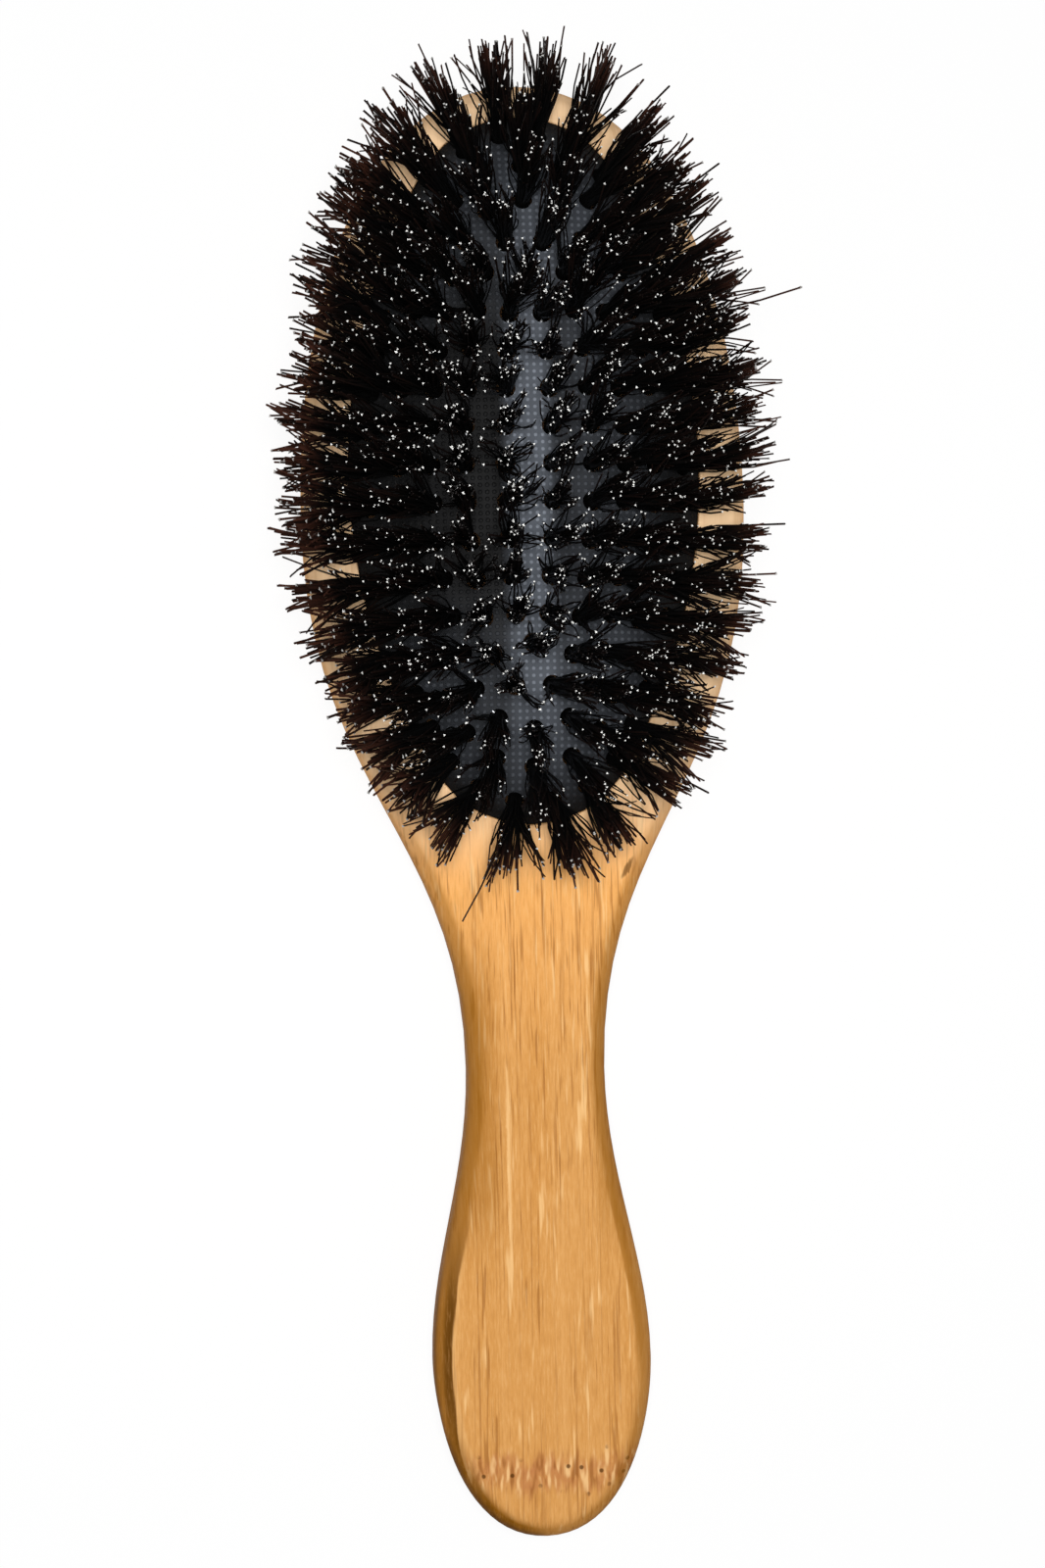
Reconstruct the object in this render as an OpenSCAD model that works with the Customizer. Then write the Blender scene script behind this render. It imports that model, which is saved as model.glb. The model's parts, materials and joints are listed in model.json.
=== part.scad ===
// Oval hairbrush with an air cushion: a laminated wooden body, a domed rubber
// cushion seated in its head, and tufts of natural bristle in oval rings, each
// tuft folded round a wire pin under the rubber.
// Millimetres. The origin lies on the flat back, under the middle of the
// cushion. +Y points to the top of the head, +Z out of the bristle side.

/* [Wood outline] */
// Length of the wood, from the top of the head to the butt
wood_length = 225.2; // [212:0.1:245]
// Width of the head at its widest place
head_width = 69.2; // [62:0.1:80]
// Distance from the top of the head to its widest place
head_widest_at = 66; // [58:0.5:74]
// Width of the neck at its narrowest place
neck_width = 21.3; // [16:0.1:26]
// Distance from the top of the head to the narrowest place
neck_at = 153; // [144:0.5:160]
// Width of the grip at its widest place
grip_width = 33.8; // [27:0.1:42]
// Distance from the top of the head to the grip's widest place
grip_widest_at = 198; // [188:0.5:205]

/* [Wood layers] */
// Thickness of the front layer, which carries the cushion
front_ply_t = 4.5; // [3.5:0.1:7]
// Thickness of the middle layer, cut away behind the cushion's lip
core_ply_t = 4.5; // [3.5:0.1:8]
// Thickness of the back layer, the floor of the air chamber
back_ply_t = 4.5; // [3:0.1:8]
// Radius of the rounding along the front and back edges
edge_round = 4; // [1:0.1:5]

/* [Cushion] */
// Width of the wood beside the cushion, at the widest place of the head
rim_side = 7.6; // [6.5:0.1:12]
// Width of the wood between the cushion and the top of the head
rim_top = 5.7; // [5:0.1:10]
// Length of the cushion where it leaves the wood
cushion_length = 109; // [96:0.5:114]
// Radius of the cushion's round ends
cushion_end_r = 17; // [13:0.5:21]
// Height of the dome above the wood
dome_rise = 8.5; // [5:0.1:12]
// Fullness of the dome: 2 is round, more is flatter on top
dome_fullness = 2.8; // [2:0.1:4]
// Thickness of the rubber
rubber_t = 1.8; // [1.2:0.1:2.4]
// Reach of the cushion's lip under the front layer
lip_reach = 1.6; // [0.8:0.1:2.2]
// Thickness of the cushion's lip
lip_t = 2.4; // [1.2:0.1:3]
// Gap between the rubber and the wood round it
rubber_gap = 0.15; // [0.1:0.05:0.3]
// Width of the breathing hole in the cushion
vent_d = 1.2; // [0.8:0.1:1.6]

/* [Bristle tufts] */
// Free length of a tuft above the rubber
tuft_length = 20.5; // [14:0.5:26]
// Width of a tuft where it passes through the rubber
stem_d = 2.4; // [1.8:0.1:2.8]
// Width of a tuft at its tips
tip_d = 4.8; // [3:0.1:5]
// Distance between tufts along a ring
tuft_pitch = 5.9; // [5.6:0.1:9]
// Distance between the two inner rows, across the spine of the cushion
spine_gap = 7.2; // [6.4:0.1:9]
// Distance from the outer ring to the edge of the cushion
rim_gap = 2.8; // [2.4:0.1:4]
// Gap round a tuft in its hole
hole_gap = 0.1; // [0.05:0.05:0.2]

/* [Anchor pins] */
// Thickness of the wire pin through a tuft's fold
pin_d = 0.8; // [0.5:0.1:1]
// Length of the wire pin
pin_length = 4.4; // [3.4:0.1:4.8]
// Gap between a pin and the rubber above it
pin_gap = 0.15; // [0.1:0.05:0.3]
// Gap round a pin in its fold
fold_gap = 0.05; // [0.02:0.01:0.1]

/* [Hidden] */

// Colours as the photograph shows them
bamboo = "#dca15d";
bamboo_core = "#c98f50";
rubber_black = "#26282a";
bristle_black = "#17150f";
wire_grey = "#8c9096";

// Heights of the layers' faces
core_z = back_ply_t;
front_z = core_z + core_ply_t;
face_z = front_z + front_ply_t;

// The cushion's oval where it leaves the wood
cushion_half_w = head_width / 2 - rim_side;
cushion_half_l = cushion_length / 2;
head_top_y = cushion_half_l + rim_top;

// How the curves of the outline leave and meet their ends, as shares of the
// curve's own reach: along the head, shoulder, grip and butt
head_pull = [0.67, 0.53];
shoulder_pull = [0.50, 0.43];
grip_pull = [0.38, 0.34];
butt_pull = [0.33, 0.78];

// Points on each curve of the outline, and steps in each rounded edge
head_steps = 26;
shoulder_steps = 18;
grip_steps = 14;
butt_steps = 22;
round_steps = 6;

// Points round an oval, and levels up the dome
oval_points = 64;
dome_levels = 6;
dome_top_half_w = 1.2;

// The rings lie further apart at the ends of the oval than at its sides
end_spread = 1.17;
ring_count = 5;
// Rows crowd towards the rim, where the rubber slopes
ring_crowding = 0.88;

fold_below_pin = 0.7;
eps = 0.01;

// ---- Outline of the wood ------------------------------------------------

// A point, and the direction of travel, on a cubic curve
function curve_point(p, t) =
    pow(1 - t, 3) * p[0] + 3 * pow(1 - t, 2) * t * p[1]
    + 3 * (1 - t) * pow(t, 2) * p[2] + pow(t, 3) * p[3];
function curve_travel(p, t) =
    pow(1 - t, 2) * (p[1] - p[0]) + 2 * (1 - t) * t * (p[2] - p[1])
    + pow(t, 2) * (p[3] - p[2]);

// The same point moved inwards by inset, square to the curve
function inset_point(p, t, inset) =
    let (way = curve_travel(p, t) / norm(curve_travel(p, t)))
    curve_point(p, t) - inset * [-way[1], way[0]];

// A distance from the top of the head as a height on the page
function down(distance) = head_top_y - distance;

top_point = [0, down(0)];
widest_point = [head_width / 2, down(head_widest_at)];
neck_point = [neck_width / 2, down(neck_at)];
grip_point = [grip_width / 2, down(grip_widest_at)];
butt_point = [0, down(wood_length)];

// A curve between two places where the side runs straight along the brush
function side_curve(a, b, pull) =
    let (reach = [0, b[1] - a[1]])
    [a, a + pull[0] * reach, b - pull[1] * reach, b];

head_curve = [top_point, top_point + [head_pull[0] * widest_point[0], 0],
              widest_point + [0, head_pull[1] * head_widest_at], widest_point];
shoulder_curve = side_curve(widest_point, neck_point, shoulder_pull);
grip_curve = side_curve(neck_point, grip_point, grip_pull);
butt_curve = [grip_point,
              grip_point - [0, butt_pull[0] * (wood_length - grip_widest_at)],
              butt_point + [butt_pull[1] * grip_point[0], 0], butt_point];

function curve_inset(p, steps, inset) =
    [for (i = [0 : steps - 1]) inset_point(p, i / steps, inset)];

// The right side, from the top of the head to the butt
function right_side(inset) = concat(
    curve_inset(head_curve, head_steps, inset),
    curve_inset(shoulder_curve, shoulder_steps, inset),
    curve_inset(grip_curve, grip_steps, inset),
    curve_inset(butt_curve, butt_steps, inset),
    [butt_point + [0, inset]]);

// The whole outline, anticlockwise from the butt
function wood_outline(inset) =
    let (side = right_side(inset), last = len(side) - 1)
    concat([for (i = [last : -1 : 0]) side[i]],
           [for (i = [1 : last - 1]) [-side[i][0], side[i][1]]]);

// ---- Ovals --------------------------------------------------------------

// An oval of four arcs is [half width, half length, end radius].
// Its side arcs have this radius:
function side_radius(oval) =
    (pow(oval[0], 2) + pow(oval[1] - oval[2], 2) - pow(oval[2], 2))
    / (2 * (oval[0] - oval[2]));

// The side arc's half angle
function side_angle(oval) =
    atan2(oval[1] - oval[2], side_radius(oval) - oval[0]);

function side_length(oval) = side_radius(oval) * side_angle(oval) * PI / 180;
function quarter_length(oval) =
    side_length(oval) + oval[2] * (90 - side_angle(oval)) * PI / 180;

// The direction square to the oval, at a length from the middle of its side
function quarter_angle(oval, travel) =
    travel < side_length(oval)
    ? travel / side_radius(oval) * 180 / PI
    : side_angle(oval) + (travel - side_length(oval)) / oval[2] * 180 / PI;

function quarter_point(oval, travel) =
    let (angle = quarter_angle(oval, travel))
    travel < side_length(oval)
    ? [oval[0] - side_radius(oval) * (1 - cos(angle)), side_radius(oval) * sin(angle)]
    : [oval[2] * cos(angle), oval[1] - oval[2] * (1 - sin(angle))];

// Place i of count, evenly spaced round the whole oval: [x, y, direction]
function oval_place(oval, i, count) =
    let (quarter = quarter_length(oval),
         travel = 4 * quarter * i / count,
         turn = floor(travel / quarter),
         part = travel - turn * quarter,
         backwards = turn % 2 == 1,
         along = backwards ? quarter - part : part,
         point = quarter_point(oval, along),
         angle = quarter_angle(oval, along),
         across = turn == 1 || turn == 2,
         below = turn >= 2,
         x_sign = across ? -1 : 1,
         y_sign = below ? -1 : 1)
    [x_sign * point[0], y_sign * point[1],
     atan2(y_sign * sin(angle), x_sign * cos(angle))];

function oval_outline(oval) =
    [for (i = [0 : oval_points - 1])
        let (place = oval_place(oval, i, oval_points)) [place[0], place[1]]];

// The cushion's edge, moved outwards by grow
function edge_oval(grow) =
    [cushion_half_w + grow, cushion_half_l + grow, cushion_end_r + grow];

// The oval of a given half width on the cushion
function pad_oval(half_w) =
    [half_w, cushion_half_l - (cushion_half_w - half_w) * end_spread,
     cushion_end_r * half_w / cushion_half_w];

// ---- Dome and rings -----------------------------------------------------

cavity_half_w = cushion_half_w - rubber_t;
cavity_rise = dome_rise - rubber_t;

function dome_height(half_w) =
    dome_rise * (1 - pow(half_w / cushion_half_w, dome_fullness));
function cavity_height(half_w) =
    cavity_rise * (1 - pow(half_w / cavity_half_w, dome_fullness));
function dome_slope(half_w) =
    dome_rise * dome_fullness / cushion_half_w
    * pow(half_w / cushion_half_w, dome_fullness - 1);

// Half width of ring 1 (inner) to ring_count (outer)
inner_half_w = spine_gap / 2;
outer_half_w = cushion_half_w - rim_gap;
function ring_half_w(ring) =
    inner_half_w + (outer_half_w - inner_half_w)
    * pow((ring - 1) / (ring_count - 1), ring_crowding);

function tuft_count(ring) =
    2 * round(2 * quarter_length(pad_oval(ring_half_w(ring))) / tuft_pitch);

// A tuft stands square to the dome
function tuft_lean(ring, angle) =
    atan(dome_slope(ring_half_w(ring))
         / (1 + (end_spread - 1) * pow(sin(angle), 2)));

// Depth of the rubber's underside, and of the pin's axis, along a tuft
function rubber_depth(ring, angle) =
    (dome_height(ring_half_w(ring)) - cavity_height(ring_half_w(ring)))
    * cos(tuft_lean(ring, angle));
function pin_depth(ring, angle) =
    rubber_depth(ring, angle) + pin_gap + pin_d / 2;

// ---- Builders -----------------------------------------------------------

// The triangles that close an outline of n points whose point n - i mirrors point i
function cap_faces(n) = concat(
    [for (i = [0 : n / 2 - 2]) [i, i + 1, n - i - 1]],
    [for (i = [1 : n / 2 - 1]) [i, n - i - 1, n - i]]);

// A solid through outlines of equal point count at rising heights
module loft(outlines, heights) {
    n = len(outlines[0]);
    m = len(outlines);
    points = [for (k = [0 : m - 1]) for (p = outlines[k]) [p[0], p[1], heights[k]]];
    sides = [for (k = [0 : m - 2]) for (i = [0 : n - 1])
        let (j = (i + 1) % n, low = k * n, high = low + n)
        each [[low + i, high + i, high + j], [low + i, high + j, low + j]]];
    bottom = cap_faces(n);
    top = [for (face = bottom) [for (i = [2 : -1 : 0]) (m - 1) * n + face[i]]];
    polyhedron(points, concat(bottom, sides, top));
}

// How far the rounded edges draw the outline in at a height of the stack
function edge_inset(z) =
    let (depth = max(0, edge_round - min(z, face_z - z)))
    edge_round - sqrt(pow(edge_round, 2) - pow(depth, 2));

// One layer of the wood between two heights, with its share of the rounding
module wood_layer(low, high) {
    drops = [for (i = [0 : round_steps]) edge_round * (1 - cos(90 * i / round_steps))];
    back = [for (drop = drops) drop];
    front = [for (i = [round_steps : -1 : 0]) face_z - drops[i]];
    between = [for (z = concat(back, front)) if (z > low + eps && z < high - eps) z];
    heights = concat([low], between, [high]);
    loft([for (z = heights) wood_outline(edge_inset(z))], heights);
}

module prism(outline, low, high) {
    translate([0, 0, low]) linear_extrude(high - low) polygon(outline);
}

// Puts its child at each tuft of a ring, +Z along the bristles
module at_tufts(ring) {
    half_w = ring_half_w(ring);
    for (i = [0 : tuft_count(ring) - 1]) {
        place = oval_place(pad_oval(half_w), i, tuft_count(ring));
        $tuft_angle = place[2];
        translate([place[0], place[1], face_z + dome_height(half_w)])
            rotate([0, 0, $tuft_angle])
                rotate([0, tuft_lean(ring, $tuft_angle), 0])
                    children();
    }
}

// ---- Wood ---------------------------------------------------------------

module front_ply() {
    color(bamboo) difference() {
        wood_layer(front_z, face_z);
        prism(oval_outline(edge_oval(rubber_gap)), front_z - 1, face_z + 1);
    }
}

module core_ply() {
    color(bamboo_core) difference() {
        wood_layer(core_z, front_z);
        prism(oval_outline(edge_oval(lip_reach + rubber_gap)), core_z - 1, front_z + 1);
    }
}

module back_ply() {
    color(bamboo) wood_layer(0, core_z);
}

// ---- Cushion ------------------------------------------------------------

// The neck, the lip under the front layer and the closed dome above
module cushion_outside() {
    lip_top = front_z - rubber_gap;
    prism(oval_outline(edge_oval(lip_reach)), lip_top - lip_t, lip_top);
    shares = [for (k = [0 : dome_levels]) 1 - k / dome_levels];
    widths = [for (s = shares)
        dome_top_half_w + (cushion_half_w - dome_top_half_w) * sin(90 * s)];
    loft(concat([oval_outline(edge_oval(0))],
                [for (w = widths) oval_outline(pad_oval(w))]),
         concat([lip_top - lip_t], [for (w = widths) face_z + dome_height(w)]));
}

// The air space in the dome and the neck
module cushion_inside() {
    floor_z = front_z - rubber_gap - lip_t - 1;
    shares = [for (k = [0 : dome_levels]) 1 - k / dome_levels];
    widths = [for (s = shares)
        dome_top_half_w + (cavity_half_w - dome_top_half_w) * sin(90 * s)];
    loft(concat([oval_outline(pad_oval(cavity_half_w))],
                [for (w = widths) oval_outline(pad_oval(w))]),
         concat([floor_z], [for (w = widths) face_z + cavity_height(w)]));
}

module cushion() {
    hole_r = stem_d / 2 + hole_gap;
    reach = stem_d;
    vent_y = (pad_oval(ring_half_w(ring_count))[1]
              + pad_oval(ring_half_w(ring_count - 1))[1]) / 2;
    color(rubber_black) difference() {
        cushion_outside();
        cushion_inside();
        for (ring = [1 : ring_count])
            at_tufts(ring)
                translate([0, 0, -rubber_t - reach])
                    cylinder(h = rubber_t + 2 * reach, r = hole_r, $fn = 24);
        translate([0, -vent_y, face_z])
            cylinder(h = dome_rise, d = vent_d, $fn = 24);
    }
}

// ---- Bristles and their pins --------------------------------------------

// One tuft: the fold under the rubber, the stem in its hole, and the flare
module tuft(fold_z) {
    stem_r = stem_d / 2;
    tip_r = tip_d / 2;
    rotate_extrude($fn = 24)
        polygon([[0, fold_z - stem_r * 0.55], [stem_r * 0.6, fold_z - stem_r * 0.4],
                 [stem_r, fold_z], [stem_r, stem_r],
                 [stem_r + (tip_r - stem_r) * 0.35, tuft_length * 0.45],
                 [tip_r, tuft_length * 0.96], [tip_r * 0.6, tuft_length],
                 [0, tuft_length]]);
}

module bristle_ring(ring) {
    color(bristle_black) at_tufts(ring) {
        depth = pin_depth(ring, $tuft_angle);
        difference() {
            tuft(-depth - pin_d / 2 - fold_below_pin);
            translate([0, 0, -depth]) rotate([90, 0, 0])
                cylinder(h = 2 * stem_d, d = pin_d + 2 * fold_gap, center = true, $fn = 16);
        }
    }
}

module anchor_pin_ring(ring) {
    color(wire_grey) at_tufts(ring)
        translate([0, 0, -pin_depth(ring, $tuft_angle)]) rotate([90, 0, 0])
            cylinder(h = pin_length, d = pin_d, center = true, $fn = 16);
}

module bristles_ring_1() { bristle_ring(1); }
module bristles_ring_2() { bristle_ring(2); }
module bristles_ring_3() { bristle_ring(3); }
module bristles_ring_4() { bristle_ring(4); }
module bristles_ring_5() { bristle_ring(5); }

module anchor_pins_ring_1() { anchor_pin_ring(1); }
module anchor_pins_ring_2() { anchor_pin_ring(2); }
module anchor_pins_ring_3() { anchor_pin_ring(3); }
module anchor_pins_ring_4() { anchor_pin_ring(4); }
module anchor_pins_ring_5() { anchor_pin_ring(5); }

front_ply();
core_ply();
back_ply();
cushion();
bristles_ring_1();
bristles_ring_2();
bristles_ring_3();
bristles_ring_4();
bristles_ring_5();
anchor_pins_ring_1();
anchor_pins_ring_2();
anchor_pins_ring_3();
anchor_pins_ring_4();
anchor_pins_ring_5();
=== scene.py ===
"""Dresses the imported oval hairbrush: wood, rubber cushion, bristle tufts and stage.

Metres, in the frame of the CAD model: the origin lies on the flat back under the
middle of the cushion, +Y points to the top of the head and +Z out of the bristles.
"""

import json
import math
import random

import bmesh
import bpy
import numpy as np
from mathutils import Matrix, Vector
from mathutils.bvhtree import BVHTree

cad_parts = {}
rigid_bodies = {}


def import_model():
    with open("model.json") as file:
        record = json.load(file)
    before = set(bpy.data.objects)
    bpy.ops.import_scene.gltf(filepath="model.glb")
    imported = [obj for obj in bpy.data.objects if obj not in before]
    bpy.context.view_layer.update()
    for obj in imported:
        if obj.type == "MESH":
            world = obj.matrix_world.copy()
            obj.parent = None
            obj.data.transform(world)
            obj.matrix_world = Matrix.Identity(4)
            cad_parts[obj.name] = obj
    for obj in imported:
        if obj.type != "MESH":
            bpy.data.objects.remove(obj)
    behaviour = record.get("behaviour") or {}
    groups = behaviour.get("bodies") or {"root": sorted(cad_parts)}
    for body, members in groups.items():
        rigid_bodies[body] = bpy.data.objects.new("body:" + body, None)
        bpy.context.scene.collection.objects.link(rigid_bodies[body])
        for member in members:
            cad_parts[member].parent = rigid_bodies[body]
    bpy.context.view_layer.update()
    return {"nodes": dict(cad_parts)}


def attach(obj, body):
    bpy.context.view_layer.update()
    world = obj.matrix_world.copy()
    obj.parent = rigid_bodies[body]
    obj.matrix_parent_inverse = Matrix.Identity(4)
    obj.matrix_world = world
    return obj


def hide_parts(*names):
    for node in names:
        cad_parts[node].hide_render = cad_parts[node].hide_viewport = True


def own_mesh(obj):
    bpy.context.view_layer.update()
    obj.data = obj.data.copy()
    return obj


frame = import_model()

bl_info = {
    "name": "Oval hairbrush",
    "version": (1, 0, 0),
    "blender": (4, 5, 0),
    "location": "View3D > Sidebar > Hairbrush",
    "description": "Finishes an oval cushion hairbrush around its CAD model",
    "category": "Object",
}

MM = 0.001
OUTER_RING = 5
RINGS = range(1, OUTER_RING + 1)
SAME_PLACE = 0.001 * MM

# The photograph's frame, long side 1568, and what shows where in it
PHOTO_W, PHOTO_H = 1045, 1568
LONG_SIDE = max(PHOTO_W, PHOTO_H)
IMAGE_POINTS = {
    "object_left": (264.6, 421.4),
    "object_right": (786.9, 490.0),
    "object_top": (520.0, 21.6),
    "butt_end": (548.3, 1531.7),
    "grip_left": (434.1, 1352.4),
    "grip_right": (650.7, 1352.4),
    "neck_left": (464.0, 1078.0),
    "neck_right": (600.7, 1078.0),
    "head_right": (741.9, 509.6),
    "cushion_top": (520.4, 115.6),
    "cushion_bottom": (524.3, 825.2),
    "bamboo_node": (543.0, 1474.0),
    "grain_mark": (628.4, 867.6),
    "stray_right": (801.6, 287.1),
    "stray_top": (642.0, 64.0),
    "stray_bottom": (462.6, 921.2),
}


# ---- Sizes and colours a user would change ----------------------------------


def number(name, description, default, **limits):
    return bpy.props.FloatProperty(
        name=name, description=description, default=default, **limits)


def whole_number(name, description, default):
    return bpy.props.IntProperty(name=name, description=description, default=default, min=1)


def length(name, description, default):
    return number(name, description, default, min=0.0, max=1.0, unit="LENGTH", precision=5)


def share(name, description, default):
    return number(name, description, default, min=0.0, max=1.0, subtype="FACTOR")


def position(name, description, default):
    return bpy.props.FloatVectorProperty(
        name=name, description=description, default=default, subtype="TRANSLATION")


def colour(name, description, red, green, blue):
    """A colour property, given as the 0 to 255 values that a screen shows."""
    return bpy.props.FloatVectorProperty(
        name=name, description=description, size=3, subtype="COLOR", min=0.0, max=1.0,
        default=[screen_to_light(value / 255) for value in (red, green, blue)],
    )


def screen_to_light(value):
    return value / 12.92 if value <= 0.04045 else ((value + 0.055) / 1.055) ** 2.4


class ViewSettings(bpy.types.PropertyGroup):
    """The camera of the photograph"""

    lens: number("Lens", "Focal length", 61.0, min=1.0, unit="CAMERA")
    sensor: number("Sensor", "Long side of the sensor", 36.0, min=1.0, unit="CAMERA")
    eye: position("Eye", "Place of the camera", (-0.0340, -0.0518, 0.4215))
    aim: position("Aim", "Point at the middle of the picture", (-0.00144, -0.0484, 0.0135))
    roll: number("Roll", "Turn of the camera about its view", math.radians(1.3), subtype="ANGLE")


class WoodSettings(bpy.types.PropertyGroup):
    """The bamboo body in three glued layers"""

    rim_softening: length("Rim softening", "Radius sanded round the cushion's opening", 0.35 * MM)
    ply: length("Layer", "Thickness of each layer", 4.5 * MM)
    face: colour("Face", "Middle tone of the bamboo", 222, 164, 97)
    shade: colour("Shade", "Darker strips of the bamboo", 203, 140, 68)
    fibre: colour("Fibre", "Dark fibre bundles", 138, 80, 28)
    # The glint colour serves the pale fibres, and also the painted highlights on the edges, the
    # neck and the growth ring
    glint: colour("Glint", "Pale fibres between the bundles", 252, 208, 146)
    neck: colour("Neck", "Warmer tone beside the cushion", 249, 180, 103)
    # The head tone is painted light on the head's rim
    head: colour("Head", "Paler tone of the head's rim", 255, 218, 174)
    # The edge colour is partly the oil in the sanded edges and partly painted shade on them. The
    # crease colour is painted shade in the creases and along the left side, and also the pores
    # and the dark mark
    edge: colour("Edge", "The sanded edges, which take the oil darker", 150, 94, 14)
    crease: colour("Crease", "Oil gathered where an edge meets the face", 76, 44, 8)
    node: colour("Growth ring", "The ring where a leaf grew", 186, 120, 72)
    glue: colour("Glue line", "Line between two layers", 112, 66, 30)
    node_width: length("Growth ring width", "Width of the ring near the butt", 6.6 * MM)


class CushionSettings(bpy.types.PropertyGroup):
    """The domed rubber cushion, with the sizes of its CAD solid"""

    half_width: length("Half width", "Half the cushion's width at the wood", 27.0 * MM)
    half_length: length("Half length", "Half the cushion's length at the wood", 54.5 * MM)
    end_radius: length("End radius", "Radius of the round ends", 17.0 * MM)
    rise: length("Rise", "Height of the dome", 8.5 * MM)
    fullness: number("Fullness", "2 is round, more is flatter", 2.8)
    end_spread: number("End spread", "How much faster the levels draw in at the ends", 1.17)
    face_height: length("Face height", "Height of the wood's front face", 13.5 * MM)
    rubber: length("Rubber", "Thickness of the rubber", 1.8 * MM)
    lip_reach: length("Lip reach", "How far the lip goes under the wood", 1.6 * MM)
    lip_top: length("Lip top", "Height of the lip's top", 8.85 * MM)
    lip_bottom: length("Lip bottom", "Height of the lip's underside", 6.45 * MM)
    hole: length("Hole", "Width of a tuft's hole at the rubber's surface", 3.0 * MM)
    hole_flare: share(
        "Hole flare", "How fast a hole widens with depth, to clear its tuft when pressed", 0.21)
    vent: length("Vent", "Width of the breathing hole", 1.2 * MM)
    vent_place: length("Vent place", "Distance of the vent from the middle", 48.5 * MM)
    dot_pitch: length("Dot pitch", "Distance between the moulded dots", 1.07 * MM)
    kept_when_pressed: share("Kept when pressed", "Height the dome keeps", 0.52774)
    # The dot and hollow colours are the rubber under painted light, and the rim colour is the
    # rubber in painted shade
    colour: colour("Rubber colour", "Colour of the rubber's moulded dots", 134, 140, 150)
    hollow: colour("Hollow colour", "Colour between the moulded dots", 90, 95, 103)
    rim_colour: colour("Rim colour", "Darker rubber towards the rim", 10, 10, 11)


class TuftSettings(bpy.types.PropertyGroup):
    """The bristle tufts, each folded round its pin"""

    length: length("Length", "Free length of a tuft", 20.5 * MM)
    stem: length("Stem", "Width of a tuft in its hole", 2.4 * MM)
    spread: length("Spread", "Width of a tuft's body at its tips", 3.6 * MM)
    fan: length("Fan", "Width of the loose bristles round the body, at their tips", 9.0 * MM)
    widest: length("Widest", "Farthest that a tip stands from the tuft's line", 4.4 * MM)
    outer_spread: share(
        "Outer spread", "How much more the outer ring's tufts spread along the ring", 0.3)
    bristle: length("Bristle", "Thickness of a bristle", 0.3 * MM)
    bristles: whole_number("Bristles", "Bristles seen in a tuft", 74)
    loose: share("Loose", "Share of the bristles that stand away from the body", 0.42)
    sprays: whole_number("Sprays", "Points that a tuft's loose bristles share", 11)
    kinds: whole_number("Kinds", "Differently grown tufts", 14)
    drift: length("Drift", "How far the outer ring's tips lean to the left", 1.3 * MM)
    clumping: share("Clumping", "How far tips lean together in points", 0.75)
    shortening: share("Shortening", "How much shorter the shortest bristle is", 0.36)
    dark: colour("Dark", "Darkest bristles", 7, 7, 7)
    brown: colour("Brown", "Lightest bristles", 74, 43, 32)
    # The cut end colour is a painted highlight on the bristles' cut ends, which are paler than
    # the bristles
    cut_end_highlight: colour("Cut end", "Pale ends where the bristles are cut", 254, 254, 250)
    highlighted_end_share: share("Cut end share", "Bristles whose cut end is pale", 0.27)


class PinSettings(bpy.types.PropertyGroup):
    """The wire pins under the rubber"""

    colour: colour("Wire", "Colour of the drawn wire", 158, 160, 162)


class StudioSettings(bpy.types.PropertyGroup):
    """Floor and light"""

    floor: colour("Floor", "Colour of the floor", 250, 250, 250)
    sky_left: number("Sky left", "Strength of the even light from the left", 0.2)
    sky_right: number("Sky right", "Strength of the even light from the right", 0.3)
    key: number("Key lamp", "Power of the lamp beside the camera", 2.3, unit="POWER")


SETTINGS = {
    "brush_view": ViewSettings,
    "brush_wood": WoodSettings,
    "brush_cushion": CushionSettings,
    "brush_tufts": TuftSettings,
    "brush_pins": PinSettings,
    "brush_studio": StudioSettings,
}


# ---- Shader nodes written as expressions ------------------------------------


class Value:
    """A socket of a finish. Its operators add the Math nodes they stand for."""

    def __init__(self, finish, socket):
        self.finish = finish
        self.socket = socket

    def _math(self, operation, *values):
        return self.finish.node(
            "ShaderNodeMath", {"operation": operation}, dict(enumerate(values)))

    def __add__(self, other):
        return self._math("ADD", self, other)

    def __sub__(self, other):
        return self._math("SUBTRACT", self, other)

    def __rsub__(self, other):
        return self._math("SUBTRACT", other, self)

    def __mul__(self, other):
        return self._math("MULTIPLY", self, other)

    def __truediv__(self, other):
        return self._math("DIVIDE", self, other)

    __radd__ = __add__
    __rmul__ = __mul__

    def __abs__(self):
        return self._math("ABSOLUTE", self)

    def lower(self, other):
        """The lower of two values."""
        return self._math("MINIMUM", self, other)

    def wave(self):
        """The cosine of the value."""
        return self._math("COSINE", self)

    def clamped(self):
        return self.finish.node(
            "ShaderNodeClamp", {}, {"Value": self, "Min": 0.0, "Max": 1.0})

    def rises(self, low, high):
        """0 below low, 1 above high, and smooth between them."""
        return self.finish.node(
            "ShaderNodeMapRange", {"interpolation_type": "SMOOTHSTEP"},
            {"Value": self, "From Min": low, "From Max": high})

    def falls(self, low, high):
        """1 below low, 0 above high, and smooth between them."""
        return 1 - self.rises(low, high)


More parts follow.
